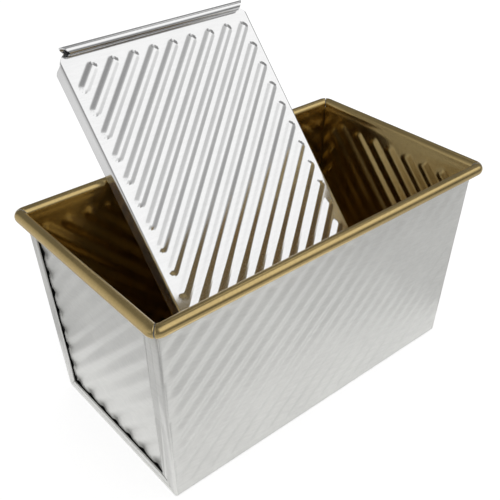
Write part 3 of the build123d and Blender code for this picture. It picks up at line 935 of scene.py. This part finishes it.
class LOAFPAN_OT_lid(Operator):
    """Ribbed lid with a curled rail down each side, a rolled lip and a flat hem"""

    bl_idname = "loaf_pan.lid"
    bl_label = "Lid"

    def execute(self, context):
        sizes = context.scene.loaf_pan_sizes
        metals = finishes(context.scene.loaf_pan_finish)
        step = LID_RIB_PITCH * ROOT2 / FINE_CELLS
        lip_start = LID_LENGTH - LIP_RADIUS
        phase = LID_RIB_SHIFT * ROOT2 + step / 2
        first = np.ceil((LID_TAIL_TRIM - phase) / step)
        last = np.floor((lip_start - phase) / step)
        run = phase + step * np.arange(first, last + 1)
        flange_end = LID_LENGTH - LID_FLANGE_START
        run = np.concatenate([[LID_TAIL_TRIM], run[1:-1], [lip_start]])

        half = LID_WIDTH / 2
        count = int((half - LID_FOLD - step / 2) / step)
        even = step * np.arange(count + 1)
        turns = np.cumsum(RAIL_RUNS)
        bends = [
            np.linspace(low, high, cuts, endpoint=False)
            for low, high, cuts in zip(turns, turns[1:], RAIL_CUTS)
        ]
        side = np.concatenate([even] + bends + [[RAIL_GIRTH]])
        places = np.concatenate([-side[:0:-1], side])

        # How wide the sheet is in each row
        over = np.clip(run - (lip_start - LID_CORNER), 0.0, LID_CORNER)
        rounded = half - LID_CORNER + np.sqrt(np.maximum(LID_CORNER ** 2 - over ** 2, 0.0))
        lip_root = half - LIP_INSET - LIP_SLANT / 2
        panel_edge = panel_girth(np.maximum(rounded, lip_root) - NUDGE)
        inside = (run - flange_end + LID_FLANGE_ROUND) / LID_FLANGE_ROUND
        inside = np.clip(inside, 0.0, 1.0)
        rail_edge = panel_edge + (RAIL_GIRTH - panel_edge) * np.sqrt(1.0 - inside ** 2)
        edge = np.where(run < flange_end, rail_edge, panel_edge)

        # Rows of the lip beyond the panel, round its centre
        sweep = np.radians(np.linspace(0.0, LIP_SWEEP, LIP_ROWS + 1)[1:] - 90.0)
        bore = LIP_RADIUS - LID_SHEET
        lip_v = lip_start + bore * np.cos(sweep)
        lip_n = bore + bore * np.sin(sweep)
        free = lip_start + LIP_RADIUS * np.cos(sweep)
        lip_edge = half - LIP_INSET - LIP_SLANT * (LID_LENGTH - free) / (2 * LIP_RADIUS)

        girth = np.clip(places[None, :], -edge[:, None], edge[:, None])
        wide_girth = np.broadcast_to(places[None, :], girth.shape)
        across, out = rail_section(girth)
        v = np.broadcast_to(run[:, None], across.shape)
        corners = [
            (-half, 0.0), (half, 0.0),
            (half, LID_LENGTH - 2 * LIP_RADIUS), (-half, LID_LENGTH - 2 * LIP_RADIUS),
        ]
        margins = [LID_TAIL_MARGIN, LID_SIDE_MARGIN, LID_TOP_MARGIN, LID_SIDE_MARGIN]
        sides = window_sides(corners, margins)
        faces = []
        for section in ((across, out), rail_section(wide_girth)):
            ribs = rib_height(
                section[0], v, sides, LID_RIB_PITCH, LID_RIB_SHIFT, sizes.lid_rib_half_width,
                LID_RIB_CREST, sizes.lid_rib_depth, LID_RIB_ROUNDING)
            ribs = np.where(section[1] < 0, 0.0, ribs)
            faces.append(np.stack([section[0], v, section[1] + ribs], axis=2))
        panel, wide = faces

        lip_x = np.clip(places[None, :], -lip_edge[:, None], lip_edge[:, None])
        lip = np.stack(np.broadcast_arrays(lip_x, lip_v[:, None], lip_n[:, None]), axis=2)
        wide_lip = lip.copy()
        wide_lip[..., 0] = places[None, :]
        local = np.concatenate([panel, lip])
        normals = grid_normals(np.concatenate([wide, wide_lip]))
        normals[len(run):] = np.stack([0 * sweep, -np.cos(sweep), -np.sin(sweep)], axis=1)[:, None]

        u, w, n = lid_axes()
        turn = np.stack([u, w, n])
        points = local @ turn + lid_origin(u, w, n)
        piece = add_sheet(
            "lid_dressed", points, normals @ turn, LID_SHEET, cells(local),
            [metals["lid_bright_steel"]], "lid")
        piece.data.set_sharp_from_angle(angle=radians(LID_CREASE))
        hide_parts("lid")

        # Hem: a half round of the sheet, then a strip back under the panel
        fold = np.linspace(pi / 2, 3 * pi / 2, 9)
        round_v = LID_SHEET * (1 + np.cos(fold))
        round_n = LID_SHEET * (np.sin(fold) - 1)
        hem_v = np.concatenate([round_v, [HEM_WIDTH, HEM_WIDTH]])
        hem_n = np.concatenate([round_n, [-2 * LID_SHEET, -LID_SHEET]])
        hem_x = np.array([-1.0, 1.0]) * (half - LID_FOLD - LID_CURL)
        rings = np.stack(np.broadcast_arrays(hem_x[:, None], hem_v, hem_n), axis=2)
        hem = add_bar(
            "lid_hem", rings @ turn + lid_origin(u, w, n), [metals["lid_bright_steel"]], "lid")
        return {"FINISHED"}


# Stage

def directly_seen(tree):
    """1 on a ray from the camera, a glossy face or a clear one, and 0 on a diffuse ray."""
    path = node(tree, "ShaderNodeLightPath")
    seen = node(tree, "ShaderNodeMath", operation="ADD")
    all_seen = node(tree, "ShaderNodeMath", operation="ADD")
    tree.links.new(path.outputs["Is Camera Ray"], seen.inputs[0])
    tree.links.new(path.outputs["Is Glossy Ray"], seen.inputs[1])
    tree.links.new(seen.outputs[0], all_seen.inputs[0])
    tree.links.new(path.outputs["Is Transmission Ray"], all_seen.inputs[1])
    return all_seen.outputs[0]


def floor_material():
    """A pale matt floor that the camera and the metal see as near white, with its shadows."""
    material = bpy.data.materials.new("pale_floor")
    material.use_nodes = True
    tree = material.node_tree
    shader = tree.nodes["Principled BSDF"]
    shader.inputs["Base Color"].default_value = FLOOR_GREY + (1.0,)
    shader.inputs["Roughness"].default_value = 0.9
    shader.inputs["Specular IOR Level"].default_value = 0.0
    shader.inputs["Emission Color"].default_value = (1.0, 1.0, 1.0, 1.0)
    level = node(tree, "ShaderNodeMath", operation="MULTIPLY")
    level.inputs[1].default_value = FLOOR_GLOW
    tree.links.new(directly_seen(tree), level.inputs[0])
    tree.links.new(level.outputs[0], shader.inputs["Emission Strength"])
    return material


def white_world():
    """A world that lights softly and is white to the camera and to the metal."""
    world = bpy.data.worlds.new("studio")
    bpy.context.scene.world = world
    world.use_nodes = True
    tree = world.node_tree
    light = tree.nodes["Background"]
    light.inputs["Color"].default_value = (1.0, 1.0, 1.0, 1.0)
    level = node(tree, "ShaderNodeMapRange", **{"To Min": WORLD_LIGHT, "To Max": 1.0})
    tree.links.new(directly_seen(tree), level.inputs["Value"])
    tree.links.new(level.outputs["Result"], light.inputs["Strength"])


def aim(place, target):
    """Matrix of a lamp or card at a place, with its -Z axis towards the target."""
    away = (Vector(place) - Vector(target)).normalized()
    turn = away.to_track_quat("Z", "Y").to_matrix().to_4x4()
    return Matrix.Translation(place) @ turn


def soft_lamp(name, place, width, height, radiance):
    """A softbox aimed at the pan. Its power gives the radiance asked for over its face."""
    lamp = bpy.data.lights.new(name, "AREA")
    lamp.shape = "RECTANGLE"
    lamp.size, lamp.size_y = width, height
    lamp.energy = radiance * pi * width * height
    holder = bpy.data.objects.new(name, lamp)
    holder.matrix_world = aim(place, (0.0, 0.0, PAN_HEIGHT / 2))
    holder.visible_glossy = False
    bpy.context.scene.collection.objects.link(holder)


def box_share(value, low, high, edge):
    """1 between low and high, 0 beyond them by an edge, and smooth in between."""
    return smooth((value - low + edge) / edge) * smooth((high + edge - value) / edge)


def studio_dome():
    """The studio round the pan, seen only by the metal: three softboxes and dim walls.

    A dome of rings by height angle. Its grey is a blend of the dim walls' level by
    height angle with each softbox's, by how far a place lies in the softbox. Rings on
    the floor lead out to it, dark where the cloth lies.
    """
    count = DOME_COLUMNS
    turn = np.linspace(-pi, pi, count, endpoint=False)
    climb = np.radians(np.linspace(0.05, 89.9, DOME_ROWS))
    facing, height = np.meshgrid(np.degrees(turn), np.degrees(climb))
    low, high, edge, levels = CLOTH
    reach = np.geomspace(levels[0][0], DOME_RADIUS, FLOOR_RINGS + 1)[:-1]
    out = np.concatenate([reach, DOME_RADIUS * np.cos(climb)])[:, None]
    up = np.concatenate([np.full(len(reach), MM), DOME_RADIUS * np.sin(climb)])[:, None]
    points = np.stack(
        np.broadcast_arrays(out * np.sin(turn), -out * np.cos(turn), up), axis=2)
    grey = np.interp(height, *WALL_LEVELS)
    for start, stop, soft, box_levels in SOFTBOXES:
        share = box_share(facing, start, stop, soft)
        grey = grey * (1 - share) + np.interp(height, *box_levels) * share
    share = box_share(np.degrees(turn), low, high, edge)[None, :]
    bare, cloth = (np.interp(reach, *greys)[:, None] for greys in (FLOOR_GREYS, levels))
    grey = np.concatenate([bare * (1 - share) + cloth * share, grey])
    row = np.arange(len(grey) - 1)[:, None] * count
    here = row + np.arange(count)
    beside = row + (np.arange(count) + 1) % count
    faces = np.stack([here, here + count, beside + count, beside], axis=2)
    mesh = bpy.data.meshes.new("studio_dome")
    mesh.from_pydata(points.reshape(-1, 3).tolist(), [], faces.reshape(-1, 4).tolist())
    shade = mesh.color_attributes.new("grey", "FLOAT_COLOR", "POINT")
    tones = np.repeat(grey.reshape(-1, 1), 4, axis=1)
    tones[:, 3] = 1.0
    shade.data.foreach_set("color", tones.ravel())
    material = bpy.data.materials.new("studio_dome")
    material.use_nodes = True
    tree = material.node_tree
    tree.nodes.remove(tree.nodes["Principled BSDF"])
    read = node(tree, "ShaderNodeAttribute", attribute_name="grey")
    glow = node(tree, "ShaderNodeEmission")
    tree.links.new(read.outputs["Color"], glow.inputs["Color"])
    tree.links.new(glow.outputs[0], tree.nodes["Material Output"].inputs["Surface"])
    mesh.materials.append(material)
    dome = bpy.data.objects.new("studio_dome", mesh)
    dome.visible_camera = False
    dome.visible_diffuse = False
    dome.visible_shadow = False
    dome.visible_transmission = False
    bpy.context.scene.collection.objects.link(dome)


class LOAFPAN_OT_stage(Operator):
    """Pale floor, soft studio lamps, and the camera at the photograph's view"""

    bl_idname = "loaf_pan.stage"
    bl_label = "Stage"

    def execute(self, context):
        scene = context.scene
        scene.view_settings.view_transform = "Standard"
        white_world()
        mesh = bpy.data.meshes.new("floor")
        turns = ((-1, -1), (1, -1), (1, 1), (-1, 1))
        corners = [(x * FLOOR_REACH, y * FLOOR_REACH, -FLOOR_DROP) for x, y in turns]
        mesh.from_pydata(corners, [], [(0, 1, 2, 3)])
        mesh.materials.append(floor_material())
        floor = bpy.data.objects.new("floor", mesh)
        scene.collection.objects.link(floor)
        studio_dome()
        for lamp in LAMPS:
            soft_lamp(*lamp)

        azimuth, elevation = radians(CAMERA_AZIMUTH), radians(CAMERA_ELEVATION)
        back = Vector((
            sin(azimuth) * cos(elevation), -cos(azimuth) * cos(elevation), sin(elevation)))
        right = Vector((cos(azimuth), sin(azimuth), 0.0))
        up = back.cross(right)
        roll = radians(CAMERA_ROLL)
        axes = Matrix((
            cos(roll) * right + sin(roll) * up,
            cos(roll) * up - sin(roll) * right,
            back,
        )).transposed().to_4x4()
        place = Vector(CAMERA_TARGET) + CAMERA_DISTANCE * back
        lens = bpy.data.cameras.new("camera")
        lens.lens = CAMERA_LENS
        lens.sensor_width = 36.0
        lens.clip_start, lens.clip_end = 0.01, 20.0
        camera = bpy.data.objects.new("camera", lens)
        camera.matrix_world = Matrix.Translation(place) @ axes
        scene.collection.objects.link(camera)
        scene.camera = camera
        return {"FINISHED"}


class LOAFPAN_PT_pieces(Panel):
    """Lists the pieces of the pan in the order in which they are made"""

    bl_idname = "LOAFPAN_PT_pieces"
    bl_label = "Loaf pan"
    bl_space_type = "VIEW_3D"
    bl_region_type = "UI"
    bl_category = "Loaf pan"

    def draw(self, context):
        layout = self.layout
        for operator in OPERATORS:
            layout.operator(operator.bl_idname)
        for group in (context.scene.loaf_pan_sizes, context.scene.loaf_pan_finish):
            box = layout.box()
            for name in type(group).__annotations__:
                box.prop(group, name)


OPERATORS = (
    LOAFPAN_OT_body_sheet,
    LOAFPAN_OT_end_panels,
    LOAFPAN_OT_end_bands,
    LOAFPAN_OT_rim_wire,
    LOAFPAN_OT_lid,
    LOAFPAN_OT_stage,
)
CLASSES = (LoafPanSizes, LoafPanFinish) + OPERATORS + (LOAFPAN_PT_pieces,)


def register():
    for made in CLASSES:
        bpy.utils.register_class(made)
    bpy.types.Scene.loaf_pan_sizes = PointerProperty(type=LoafPanSizes)
    bpy.types.Scene.loaf_pan_finish = PointerProperty(type=LoafPanFinish)


def unregister():
    del bpy.types.Scene.loaf_pan_finish
    del bpy.types.Scene.loaf_pan_sizes
    for made in reversed(CLASSES):
        bpy.utils.unregister_class(made)


def main():
    """Register the add-on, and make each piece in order."""
    register()
    bpy.ops.loaf_pan.body_sheet()
    bpy.ops.loaf_pan.end_panels()
    bpy.ops.loaf_pan.end_bands()
    bpy.ops.loaf_pan.rim_wire()
    bpy.ops.loaf_pan.lid()
    bpy.ops.loaf_pan.stage()
    bpy.context.view_layer.update()


if __name__ == "__main__":
    main()
